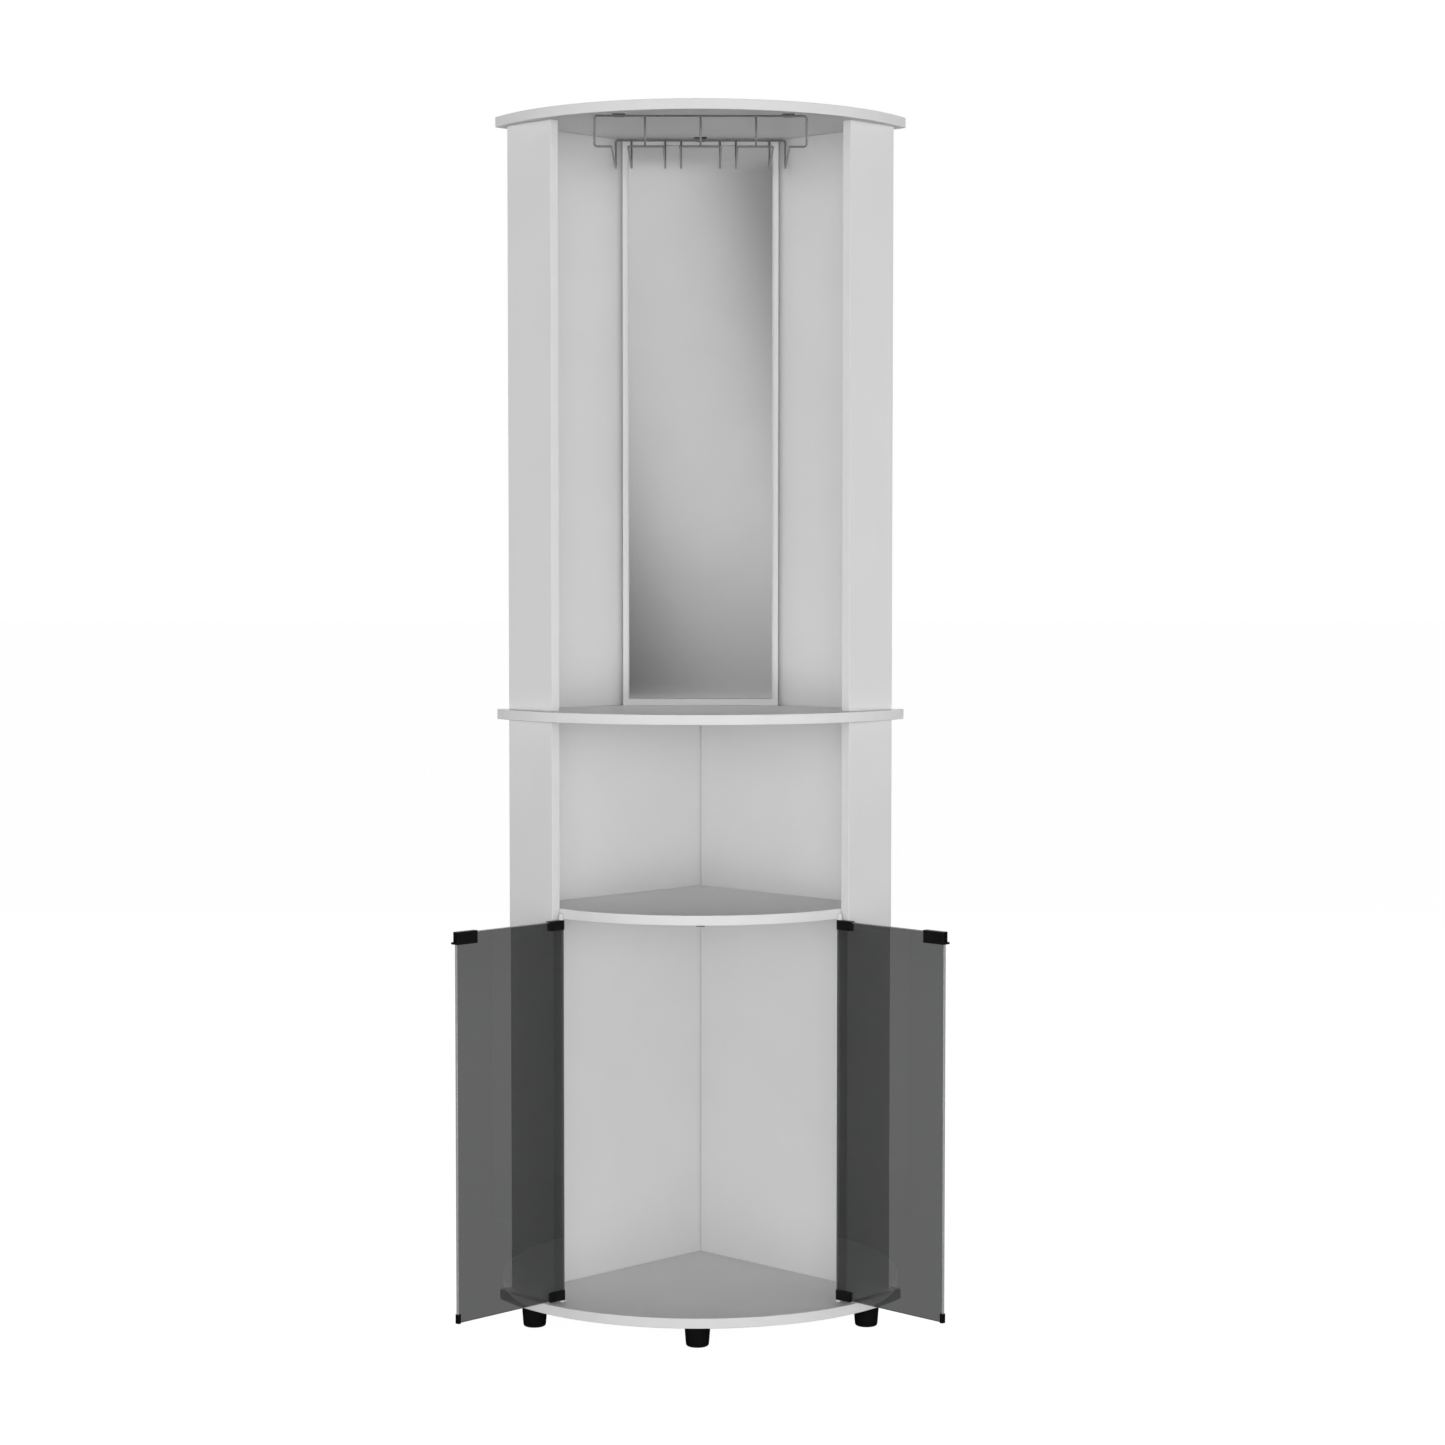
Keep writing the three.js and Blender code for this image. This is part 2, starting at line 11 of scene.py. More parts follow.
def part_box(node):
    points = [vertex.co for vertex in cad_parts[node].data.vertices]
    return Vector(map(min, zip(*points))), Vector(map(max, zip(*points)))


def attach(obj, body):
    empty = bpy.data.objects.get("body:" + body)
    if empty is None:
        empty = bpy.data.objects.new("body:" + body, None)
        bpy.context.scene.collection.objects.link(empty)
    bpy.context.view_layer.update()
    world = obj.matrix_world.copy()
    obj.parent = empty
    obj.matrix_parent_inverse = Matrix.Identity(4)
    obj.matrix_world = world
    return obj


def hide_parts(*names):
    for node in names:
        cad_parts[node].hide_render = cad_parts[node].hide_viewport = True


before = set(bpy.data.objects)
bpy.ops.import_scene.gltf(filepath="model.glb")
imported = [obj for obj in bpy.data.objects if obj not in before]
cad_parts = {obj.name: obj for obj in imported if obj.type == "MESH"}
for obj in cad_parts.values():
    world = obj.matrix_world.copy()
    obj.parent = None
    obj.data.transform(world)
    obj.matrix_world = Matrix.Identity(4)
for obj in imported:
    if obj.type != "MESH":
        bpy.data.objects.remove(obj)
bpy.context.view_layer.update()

MM = 0.001
ROOT2 = math.sqrt(2)
CABINET = "cabinet"
SIDES = ((-1, "left"), (1, "right"))

# Boards, in millimetres from the rear corner of the tops, where Y is 0
BOARD = 15  # thickness
LEG = 430  # straight edge of a top, rear corner to front corner
DEPTH = 486  # rear corner to the middle of the bowed front
BAY = 861.5  # clear height of each half
FOOT = 32  # height
WALL_INSET = 25  # walls stand in from the straight edges
STILE_WIDTH = 95
STILE_SETBACK = 1.5  # stile face behind the front corners
SHELF_HEIGHT = 585  # bottom board's top face to the shelf's top face
SHELF_SETBACK = 18.4  # middle of the shelf's front behind that of the tops
MIRROR_BOARD = 239  # width of the board across the rear corner
GAP = 0.3  # between boards that meet sideways

# Places that follow from the sizes above
HALF_WIDTH = LEG / ROOT2
BOTTOM_TOP = FOOT + BOARD
MIDDLE_TOP = BOTTOM_TOP + BAY + BOARD
TOP_UNDER = MIDDLE_TOP + BAY
SHELF_TOP = BOTTOM_TOP + SHELF_HEIGHT
SHELF_UNDER = SHELF_TOP - BOARD
WALL_INNER = WALL_INSET + BOARD
STILE_FRONT = LEG - STILE_SETBACK
STILE_BACK = STILE_FRONT - BOARD
STILE_INNER = WALL_INSET + STILE_WIDTH
REAR_CORNER_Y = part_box("bottom_panel")[1].y / MM


def at(x, y, z):
    """A point given in millimetres from the rear corner of the tops, in the frame's metres."""
    return Vector((x * MM, (y + REAR_CORNER_Y) * MM, z * MM))


def plan(side, along, inward):
    """Plan place along a straight rear edge from the rear corner, and inward from that edge."""
    return side * (along - inward) / ROOT2, -(along + inward) / ROOT2


FROM_REAR_CORNER = Matrix.Translation(at(0, 0, 0)) @ Matrix.Scale(MM, 4)

# Camera, with its place in millimetres
CAMERA_X = -0.065
CAMERA_DISTANCE = 4437.206  # in front of the front corners
CAMERA_HEIGHT = 1133.473
CAMERA_PITCH = 2.97129  # degrees down
CAMERA_YAW = 0.42537  # degrees to the right
CAMERA_ROLL = 0.02364  # degrees
CAMERA_SENSOR = 36
CAMERA_LENS = 73.985
NEAREST, FURTHEST = 0.1, 200  # metres


def make_camera():
    """Looks slightly down at the open front."""
    data = bpy.data.cameras.new("camera")
    data.sensor_fit = "HORIZONTAL"
    data.sensor_width = CAMERA_SENSOR
    data.lens = CAMERA_LENS
    data.clip_start = NEAREST
    data.clip_end = FURTHEST
    camera = bpy.data.objects.new("camera", data)
    bpy.context.scene.collection.objects.link(camera)
    bpy.context.scene.camera = camera
    pitch, yaw, roll = (math.radians(angle) for angle in (CAMERA_PITCH, CAMERA_YAW, CAMERA_ROLL))
    ahead = Vector((math.sin(yaw) * math.cos(pitch), math.cos(yaw) * math.cos(pitch), -math.sin(pitch)))
    level = Vector((math.cos(yaw), -math.sin(yaw), 0))
    above = level.cross(ahead)
    right = level * math.cos(roll) + above * math.sin(roll)
    up = above * math.cos(roll) - level * math.sin(roll)
    place = at(CAMERA_X, -CAMERA_DISTANCE - HALF_WIDTH, CAMERA_HEIGHT)
    camera.matrix_world = Matrix((
        (right.x, up.x, -ahead.x, place.x),
        (right.y, up.y, -ahead.y, place.y),
        (right.z, up.z, -ahead.z, place.z),
        (0, 0, 0, 1),
    ))


make_camera()

# Materials
EVEN = (1, 1, 1)
ALONG_THE_GRAIN = (1, 1, 0.08)
NOISE_LOW, NOISE_HIGH = 0.3, 0.7  # most of the noise lies between these
MOTTLE_LOW, MOTTLE_HIGH = 0.35, 0.65  # noise where one colour ends and where the other is full


class Look:
    """A Principled material whose colour, roughness and bump come from noise."""

    def __init__(self, name, color, roughness, **sockets):
        self.material = bpy.data.materials.new(name)
        self.material.use_nodes = True
        self.tree = self.material.node_tree
        self.shader = self.tree.nodes["Principled BSDF"]
        self.color = (*color, 1)
        self.shader.inputs["Base Color"].default_value = self.color
        self.shader.inputs["Roughness"].default_value = roughness
        for socket, value in sockets.items():
            self.shader.inputs[socket.replace("_", " ")].default_value = value
        self.coords = self.tree.nodes.new("ShaderNodeTexCoord").outputs["Object"]
        self.relief = None

    def noise(self, scale, detail, stretch):
        """Noise in the object's own metres; stretch scales it along each axis."""
        mapping = self.tree.nodes.new("ShaderNodeMapping")
        mapping.inputs["Scale"].default_value = stretch
        noise = self.tree.nodes.new("ShaderNodeTexNoise")
        noise.inputs["Scale"].default_value = scale
        noise.inputs["Detail"].default_value = detail
        self.tree.links.new(self.coords, mapping.inputs["Vector"])
        self.tree.links.new(mapping.outputs["Vector"], noise.inputs["Vector"])
        return noise.outputs["Fac"]

    def mottle(self, other, scale, detail=3, stretch=EVEN):
        """Mixes a second colour in by noise."""
        ramp = self.tree.nodes.new("ShaderNodeValToRGB")
        ramp.color_ramp.elements[0].position = MOTTLE_LOW
        ramp.color_ramp.elements[0].color = self.color
        ramp.color_ramp.elements[1].position = MOTTLE_HIGH
        ramp.color_ramp.elements[1].color = (*other, 1)
        self.tree.links.new(self.noise(scale, detail, stretch), ramp.inputs["Fac"])
        self.tree.links.new(ramp.outputs["Color"], self.shader.inputs["Base Color"])
        return self

    def roughen(self, low, high, scale, detail=3):
        """Roughness between two values by noise."""
        spread = self.tree.nodes.new("ShaderNodeMapRange")
        spread.inputs["From Min"].default_value = NOISE_LOW
        spread.inputs["From Max"].default_value = NOISE_HIGH
        spread.inputs["To Min"].default_value = low
        spread.inputs["To Max"].default_value = high
        self.tree.links.new(self.noise(scale, detail, EVEN), spread.inputs["Value"])
        self.tree.links.new(spread.outputs["Result"], self.shader.inputs["Roughness"])
        return self

    def bump(self, scale, distance, strength, detail=3, stretch=EVEN):
        """Adds a layer of fine relief; distance is in metres."""
        node = self.tree.nodes.new("ShaderNodeBump")
        node.inputs["Strength"].default_value = strength
        node.inputs["Distance"].default_value = distance
        self.tree.links.new(self.noise(scale, detail, stretch), node.inputs["Height"])
        if self.relief:
            self.tree.links.new(self.relief, node.inputs["Normal"])
        self.relief = node.outputs["Normal"]
        self.tree.links.new(self.relief, self.shader.inputs["Normal"])
        return self


def tint(level, warmth=0.0):
    """Near-neutral linear colour."""
    return (level * (1 + warmth), level, level * (1 - warmth))


laminate = (
    Look("white_laminate", tint(0.765, -0.001), roughness=0.42, IOR=1.5)
    .mottle(tint(0.748, 0.001), scale=9, detail=4)
    .roughen(0.36, 0.47, scale=160, detail=4)
    .bump(scale=2400, distance=0.00002, strength=0.35, detail=2)
    .bump(scale=420, distance=0.00003, strength=0.25)
).material
edge_band = (
    Look("white_edge_band", tint(0.768, -0.001), roughness=0.34, IOR=1.5)
    .mottle(tint(0.75, -0.001), scale=24)
    .roughen(0.28, 0.38, scale=90)
    .bump(scale=900, distance=0.00002, strength=0.3, detail=2)
).material
silvering = (
    Look("mirror_silver", (0.86, 0.865, 0.86), roughness=0.15, Metallic=1.0)
    .roughen(0.14, 0.16, scale=14, detail=5)
).material
mirror_edge = (
    Look("mirror_ground_edge", (0.33, 0.4, 0.38), roughness=0.3, IOR=1.5)
    .mottle((0.4, 0.47, 0.45), scale=300)
    .roughen(0.22, 0.4, scale=500)
).material
smoked_glass = (
    Look("smoked_glass", (0.12, 0.121, 0.123), roughness=0.0, IOR=1.45, Transmission_Weight=1.0)
    .roughen(0.0, 0.012, scale=7, detail=5)
).material
glass_edge = (
    Look("ground_glass_edge", (0.36, 0.37, 0.365), roughness=0.32, IOR=1.5)
    .mottle((0.44, 0.45, 0.445), scale=350)
    .roughen(0.25, 0.45, scale=700)
    .bump(scale=1800, distance=0.00004, strength=0.4, detail=2)
).material
black_plastic = (
    Look("black_moulded_plastic", tint(0.005, 0.03), roughness=0.45, Specular_IOR_Level=0.1)
    .mottle(tint(0.007, 0.03), scale=60, detail=4)
    .roughen(0.38, 0.55, scale=350, detail=4)
    .bump(scale=1600, distance=0.00005, strength=0.4)
).material
black_metal = (
    Look("black_coated_metal", tint(0.004), roughness=0.36, Specular_IOR_Level=0.16)
    .mottle(tint(0.006), scale=80, detail=4)
    .roughen(0.3, 0.44, scale=600, detail=4)
    .bump(scale=3000, distance=0.00003, strength=0.45, detail=2)
).material
wire_metal = (
    Look("grey_coated_wire", (0.24, 0.235, 0.23), roughness=0.32, Metallic=0.35)
    .mottle((0.2, 0.196, 0.192), scale=70, detail=4)
    .roughen(0.26, 0.38, scale=260, detail=4)
    .bump(scale=1500, distance=0.00002, strength=0.3, detail=2)
).material
dark_plastic = (
    Look("dark_grey_plastic", tint(0.05), roughness=0.42, Specular_IOR_Level=0.3)
    .mottle(tint(0.06), scale=120, detail=4)
    .roughen(0.36, 0.5, scale=400, detail=4)
).material
zinc = (
    Look("bright_zinc", (0.55, 0.56, 0.57), roughness=0.3, Metallic=1.0)
    .mottle((0.47, 0.48, 0.5), scale=400)
    .roughen(0.24, 0.42, scale=900)
).material
beech = (
    Look("beech", (0.55, 0.36, 0.18), roughness=0.6)
    .mottle((0.42, 0.25, 0.11), scale=300, detail=5, stretch=ALONG_THE_GRAIN)
    .bump(scale=900, distance=0.00006, strength=0.5, stretch=ALONG_THE_GRAIN)
).material
white_nylon = (
    Look("white_nylon", tint(0.72, 0.01), roughness=0.38, IOR=1.5)
    .mottle(tint(0.69, 0.012), scale=200)
    .roughen(0.32, 0.45, scale=500)
).material

# Mesh helpers
CORNER_STEPS = 6  # around a quarter turn
# An edge counts as sharp where its two faces turn more than this
BOARD_CORNER = math.radians(20)
FITTING_CORNER = math.radians(40)
SHEET_CORNER = math.radians(50)
SHADED_CORNER = math.radians(40)
LATHE_CORNER = math.radians(30)


def outward(bm):
    """Turns every face of the closed shapes outward."""
    bm.normal_update()
    bmesh.ops.recalc_face_normals(bm, faces=bm.faces)
    return bm


def prism(outline, low, high):
    """A flat outline, listed anticlockwise, raised from one height to another."""
    bm = bmesh.new()
    floor = [bm.verts.new((x, y, low)) for x, y in outline]
    roof = [bm.verts.new((x, y, high)) for x, y in outline]
    bm.faces.new(list(reversed(floor)))
    bm.faces.new(roof)
    count = len(outline)
    for i in range(count):
        j = (i + 1) % count
        bm.faces.new((floor[i], floor[j], roof[j], roof[i]))
    return outward(bm)


def soften(bm, width, segments=3, corner=BOARD_CORNER):
    """Rounds every sharp edge, and keeps the faces between them flat."""
    sharp = [e for e in bm.edges if len(e.link_faces) == 2 and e.calc_face_angle() > corner]
    made = bmesh.ops.bevel(
        bm, geom=sharp, offset=width, segments=segments, profile=0.5, affect="EDGES", clamp_overlap=True,
    )
    rounds = set(made["faces"])
    for face in bm.faces:
        face.smooth = True
    for edge in bm.edges:
        if len(edge.link_faces) == 2:
            first, second = edge.link_faces
            split = (first in rounds) != (second in rounds)
            edge.smooth = not split and edge.calc_face_angle() < SHADED_CORNER
    return bm


def to_object(name, bm, materials, pick=None, matrix=FROM_REAR_CORNER):
    """Turns a bmesh into an object; pick gives each face the number of its material."""
    bm.transform(matrix)
    outward(bm)
    if pick:
        for face in bm.faces:
            face.material_index = pick(face)
    mesh = bpy.data.meshes.new(name)
    bm.to_mesh(mesh)
    bm.free()
    for material in materials:
        mesh.materials.append(material)
    obj = bpy.data.objects.new(name, mesh)
    bpy.context.scene.collection.objects.link(obj)
    return obj


def piece(name, bm, body, nodes, materials, pick=None, matrix=FROM_REAR_CORNER):
    """A finished piece that rides on a body and stands for the named solids."""
    obj = to_object(name, bm, materials, pick, matrix)
    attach(obj, body)
    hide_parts(*nodes)
    return obj


def merge(target, extra):
    """Adds one bmesh to another."""
    mesh = bpy.data.meshes.new("merge")
    extra.to_mesh(mesh)
    extra.free()
    target.from_mesh(mesh)
    bpy.data.meshes.remove(mesh)
    return target


def paint(bm, index):
    """Gives every face the material of that number."""
    for face in bm.faces:
        face.material_index = index
    return bm


def lathe(profile, centre, sides, direction=(0, 0, 1)):
    """A profile of (radius, distance) pairs turned about an axis through a point."""
    bm = bmesh.new()
    circle = [2 * math.pi * i / sides for i in range(sides)]
    rings = []
    for radius, distance in profile:
        if radius == 0:
            rings.append([bm.verts.new((0, 0, distance))])
        else:
            spots = [(radius * math.cos(a), radius * math.sin(a), distance) for a in circle]
            rings.append([bm.verts.new(spot) for spot in spots])
    for lower, upper in zip(rings, rings[1:]):
        for i in range(sides):
            j = (i + 1) % sides
            if len(lower) == 1 and len(upper) > 1:
                bm.faces.new((lower[0], upper[j], upper[i]))
            elif len(upper) == 1 and len(lower) > 1:
                bm.faces.new((lower[i], lower[j], upper[0]))
            elif len(lower) > 1:
                bm.faces.new((lower[i], lower[j], upper[j], upper[i]))
    turn = Vector((0, 0, 1)).rotation_difference(Vector(direction)).to_matrix().to_4x4()
    bm.transform(Matrix.Translation(Vector(centre)) @ turn)
    outward(bm)
    for face in bm.faces:
        face.smooth = True
    for edge in bm.edges:
        edge.smooth = len(edge.link_faces) == 2 and edge.calc_face_angle() < LATHE_CORNER
    return bm


def arc_points(centre, radius, start, end, steps=CORNER_STEPS):
    """Points along an arc, ends included, with angles in degrees."""
    turn = [math.radians(start + (end - start) * i / steps) for i in range(steps + 1)]
    return [(centre[0] + radius * math.cos(a), centre[1] + radius * math.sin(a)) for a in turn]


def bow(corner_x, corner_y, front_y, steps):
    """The bowed front, from the left corner to the right one."""
    sag = corner_y - front_y
    radius = (corner_x**2 + sag**2) / (2 * sag)
    half = math.degrees(math.asin(corner_x / radius))
    return arc_points((0, front_y + radius), radius, -90 - half, -90 + half, steps)


def rectangle(x0, x1, y0, y1):
    return [(x0, y0), (x1, y0), (x1, y1), (x0, y1)]


# Boards
LAMINATE_AND_BAND = (laminate, edge_band)
LEVEL_BOARD_ROUND = 0.9
UPRIGHT_BOARD_ROUND = 0.7
TOP_BOW_STEPS = 170
SHELF_BOW_STEPS = 130
CORNER_SEAM = 3 * GAP  # between the two walls in the rear corner
BACKING_SEAM = 0.7  # room at each end of the board behind the mirror
LEVEL = 0.99  # a face is level if the upward part of its normal is more
LARGE_FACE = 0.02  # square metres, less than the large faces of an upright board


def level_faces(face):
    """The two level faces of a board are laminate, its edges are edge band."""
    return 0 if abs(face.normal.z) > LEVEL else 1


def upright_faces(face):
    """The two large faces of an upright board are laminate, the narrow ones are edge band."""
    return 0 if face.calc_area() > LARGE_FACE else 1


def bowed_board(name, low, outline, node):
    """A level board with a bowed front."""
    bm = soften(prism(outline, low, low + BOARD), LEVEL_BOARD_ROUND)
    piece(name, bm, CABINET, [node], LAMINATE_AND_BAND, level_faces)


def upright_board(name, outline, low, high, node):
    """A board on its end, from one height to another."""
    bm = soften(prism(outline, low, high), UPRIGHT_BOARD_ROUND)
    piece(name, bm, CABINET, [node], LAMINATE_AND_BAND, upright_faces)


def plan_rectangle(side, along, inward):
    """Corners of a range along a straight rear edge and a range inward from it."""
    spots = ((along[0], inward[0]), (along[1], inward[0]), (along[1], inward[1]), (along[0], inward[1]))
    return [plan(side, a, i) for a, i in spots]


def shelf_outline():
    """Between the walls and behind the stiles, with its bowed front between them."""
    back = STILE_BACK - GAP
    reach = WALL_INNER + GAP
    front_x, front_y = plan(1, back, STILE_INNER)
    return [
        *bow(front_x, front_y, -(DEPTH - SHELF_SETBACK), SHELF_BOW_STEPS),
        plan(1, back, reach),
        plan(1, reach, reach),
        plan(-1, back, reach),
    ]


top_outline = [*bow(HALF_WIDTH, -HALF_WIDTH, -DEPTH, TOP_BOW_STEPS), (0, 0)]
bowed_board("top_board", TOP_UNDER, top_outline, "top_panel")
bowed_board("middle_board", MIDDLE_TOP - BOARD, top_outline, "middle_panel")
bowed_board("bottom_board", FOOT, top_outline, "bottom_panel")
bowed_board("shelf_board", SHELF_UNDER, shelf_outline(), "shelf_panel")

HALVES = (("upper", MIDDLE_TOP, TOP_UNDER), ("lower", BOTTOM_TOP, MIDDLE_TOP - BOARD))
for half, low, high in HALVES:
    for side, word in SIDES:
        start = WALL_INSET if side < 0 else WALL_INNER + CORNER_SEAM
        wall = plan_rectangle(side, (start, STILE_BACK - GAP), (WALL_INSET, WALL_INNER))
        upright_board(f"{half}_{word}_wall_board", wall, low, high, f"{half}_{word}_wall")
        stile = plan_rectangle(side, (STILE_BACK, STILE_FRONT), (WALL_INSET, STILE_INNER))
        upright_board(f"{half}_{word}_stile_board", stile, low, high, f"{half}_{word}_stile")

BACKING_REAR = -(WALL_INNER * ROOT2 + MIRROR_BOARD / 2 + GAP * ROOT2)
BACKING_FRONT = BACKING_REAR - BOARD
BACKING_HALF = MIRROR_BOARD / 2 - BACKING_SEAM
backing = rectangle(-BACKING_HALF, BACKING_HALF, BACKING_FRONT, BACKING_REAR)
upright_board("mirror_backing_board", backing, MIDDLE_TOP, TOP_UNDER, "mirror_board")

# Mirror
MIRROR_WIDTH = 220
MIRROR_MARGIN = 10  # above and below it
MIRROR_THICK = 3
MIRROR_CORNER = 3
MIRROR_BEVEL = 0.9
FACING_FRONT = -0.5  # a face is silvered if the Y of its normal is less


def mirror_faces(face):
    """The front and its bevel are silvered, the rim and the back are ground glass."""
    return 0 if face.normal.y < FACING_FRONT else 1


def mirror_pane():
    """On the front of its board, with rounded corners and a bevelled rim."""
    reach = MIRROR_WIDTH / 2 - MIRROR_CORNER
    low = MIDDLE_TOP + MIRROR_MARGIN + MIRROR_CORNER
    high = TOP_UNDER - MIRROR_MARGIN - MIRROR_CORNER
    outline = [
        *arc_points((reach, low), MIRROR_CORNER, -90, 0),
        *arc_points((reach, high), MIRROR_CORNER, 0, 90),
        *arc_points((-reach, high), MIRROR_CORNER, 90, 180),
        *arc_points((-reach, low), MIRROR_CORNER, 180, 270),
    ]
    bm = soften(prism(outline, 0, MIRROR_THICK), MIRROR_BEVEL, 1, SHEET_CORNER)
    stand = Matrix(((1, 0, 0, 0), (0, 0, -1, BACKING_FRONT), (0, 1, 0, 0), (0, 0, 0, 1)))
    piece(
        "mirror_glass", bm, CABINET, ["mirror_pane"], (silvering, mirror_edge),
        mirror_faces, FROM_REAR_CORNER @ stand,
    )


mirror_pane()

# Wire rack
WIRE = 1.5  # radius
WIRE_SIDES = 16
RACK_SETBACK = 58  # front wires behind the middle of the bowed front
RACK_MIRROR_GAP = 1  # between the rear wires and the mirror
RACK_HEIGHT = 43.6  # upper front wire to the rails, centre to centre
REAR_WIRE_DROP = 2  # upper rear wire below the front one
RAIL_END_DROP = 1  # rear ends of the rails below the upper rear wire
RACK_HALF = 152.8
RACK_BEND = 4
POST_X = 80
SLOT_WIDTH = 24  # centre to centre of two rails
INNER_SLOT_X = 41.5
OUTER_SLOT_X = 116.5
BEAD_RADIUS = 2
BEAD_OFFSET = 0.4  # from a wire's centre towards the joint
BEAD_SEGMENTS, BEAD_RINGS = 14, 9
RACK_FRONT = -(DEPTH - RACK_SETBACK)
RACK_REAR = BACKING_FRONT - MIRROR_THICK - RACK_MIRROR_GAP - WIRE
RACK_TOP = TOP_UNDER - WIRE
RACK_REAR_TOP = RACK_TOP - REAR_WIRE_DROP
RACK_RAIL = RACK_TOP - RACK_HEIGHT
INNER_NEAR = INNER_SLOT_X - SLOT_WIDTH / 2
INNER_FAR = INNER_SLOT_X + SLOT_WIDTH / 2
OUTER_NEAR = OUTER_SLOT_X - SLOT_WIDTH / 2
OUTER_FAR = OUTER_SLOT_X + SLOT_WIDTH / 2


def rounded_path(corners, closed=False):
    """A path through corners with each corner rounded."""
    count = len(corners)
    path = []
    for i, corner in enumerate(corners):
        if not closed and i in (0, count - 1):
            path.append(Vector(corner))
            continue
        here = Vector(corner)
        before = (Vector(corners[i - 1]) - here).normalized()
        after = (Vector(corners[(i + 1) % count]) - here).normalized()
        centre = here + (before + after) * RACK_BEND
        for k in range(CORNER_STEPS + 1):
            turn = math.pi / 2 * k / CORNER_STEPS
            path.append(centre - after * RACK_BEND * math.cos(turn) - before * RACK_BEND * math.sin(turn))
    return path


def tube(path, closed=False):
    """A round wire swept along a path."""
    bm = bmesh.new()
    count = len(path)
    circle = [2 * math.pi * k / WIRE_SIDES for k in range(WIRE_SIDES)]
    rings = []
    side_dir = None
    for i, point in enumerate(path):
        ahead = path[(i + 1) % count] if closed or i < count - 1 else point
        back = path[i - 1] if closed or i > 0 else point
        along = (ahead - back).normalized()
        if side_dir is None:
            side_dir = along.orthogonal().normalized()
        side_dir = (side_dir - along * side_dir.dot(along)).normalized()
        other = along.cross(side_dir)
        spots = [point + (side_dir * math.cos(a) + other * math.sin(a)) * WIRE for a in circle]
        rings.append([bm.verts.new(spot) for spot in spots])
    pairs = list(zip(rings, rings[1:]))
    if closed:
        first, last = rings[0], rings[-1]
        shift = min(range(WIRE_SIDES), key=lambda s: (last[0].co - first[s].co).length)
        pairs.append((last, first[shift:] + first[:shift]))
    else:
        bm.faces.new(list(reversed(rings[0])))
        bm.faces.new(rings[-1])
    for lower, upper in pairs:
        for k in range(WIRE_SIDES):
            n = (k + 1) % WIRE_SIDES
            bm.faces.new((lower[k], lower[n], upper[n], upper[k]))
    outward(bm)
    for face in bm.faces:
        face.smooth = len(face.verts) == 4
    return bm


def weld_bead(x, y, z):
    """The small collar of metal at a welded joint."""
    bead = bmesh.new()
    bmesh.ops.create_uvsphere(bead, u_segments=BEAD_SEGMENTS, v_segments=BEAD_RINGS, radius=BEAD_RADIUS)
    bmesh.ops.translate(bead, verts=bead.verts, vec=(x, y, z))
    for face in bead.faces:
        face.smooth = True
    return bead


def outer_wire():
    """One wire along the upper front, down both ends, back along the outermost rails and across the rear."""
    right = [
        (RACK_HALF, RACK_FRONT, RACK_TOP), (RACK_HALF, RACK_FRONT, RACK_RAIL),
        (OUTER_FAR, RACK_FRONT, RACK_RAIL), (OUTER_FAR, RACK_REAR, RACK_RAIL),
        (OUTER_FAR, RACK_REAR, RACK_REAR_TOP),
    ]
    left = [(-x, y, z) for x, y, z in right]
    return tube(rounded_path([*left, *reversed(right)], closed=True), closed=True)


def rail_pair(near, far):
    """A bar in front whose two ends turn back as rails and up at the rear."""
    end = RACK_REAR_TOP - RAIL_END_DROP
    return tube(rounded_path([
        (near, RACK_REAR, end), (near, RACK_REAR, RACK_RAIL), (near, RACK_FRONT, RACK_RAIL),
        (far, RACK_FRONT, RACK_RAIL), (far, RACK_REAR, RACK_RAIL), (far, RACK_REAR, end),
    ]))


def rack():
    """All the wires, welded together; the satin mirror shows no image of them."""
    wires = outer_wire()
    for x in (-POST_X, 0, POST_X):
        merge(wires, tube([Vector((x, RACK_FRONT, z)) for z in (RACK_RAIL, RACK_TOP)]))
        merge(wires, weld_bead(x, RACK_FRONT, RACK_TOP - BEAD_OFFSET))
        merge(wires, weld_bead(x, RACK_FRONT, RACK_RAIL + BEAD_OFFSET))
    for near, far in ((-OUTER_NEAR, -INNER_FAR), (-INNER_NEAR, INNER_NEAR), (INNER_FAR, OUTER_NEAR)):
        merge(wires, rail_pair(near, far))
        for x in (near, far):
            merge(wires, weld_bead(x, RACK_REAR, RACK_REAR_TOP - 2 * BEAD_OFFSET))
    parts = ("front", "rear", "left_rail", "middle_rail", "right_rail", "left_end", "right_end")
    nodes = [f"rack_{part}_wire" for part in parts]
    piece("glass_rack", wires, CABINET, nodes, (wire_metal,)).visible_glossy = False


rack()

# Rack clips: a pad under the top, a pin through it, and a strip around the wire
CLIP_WIDTH = 19
CLIP_TAB = 14  # from the wire's centre to the front of the pad
CLIP_THICK = 1.2
CLIP_CORNER = 1.5
CLIP_ROUND = 0.3
CLIP_PIN_PROFILE = ((0, -0.5), (1.6, -0.5), (2.7, -0.3), (3.2, 0), (3.2, 0.2), (0, 0.2))
CLIP_PIN_SIDES = 24
CLIP_PIN_FORWARD = 1  # in front of halfway along the pad
STRIP_CLEAR = 0.1  # between the wire and the strip
STRIP_OUTER = 0.6  # from the wire to the strip's outer face
STRIP_INSET = 2.5  # strip narrower than the pad, on each side
STRIP_ROUND = 0.2
STRIP_STEPS = 10
LEFT_CLIP_X, RIGHT_CLIP_X = -117.5, 126


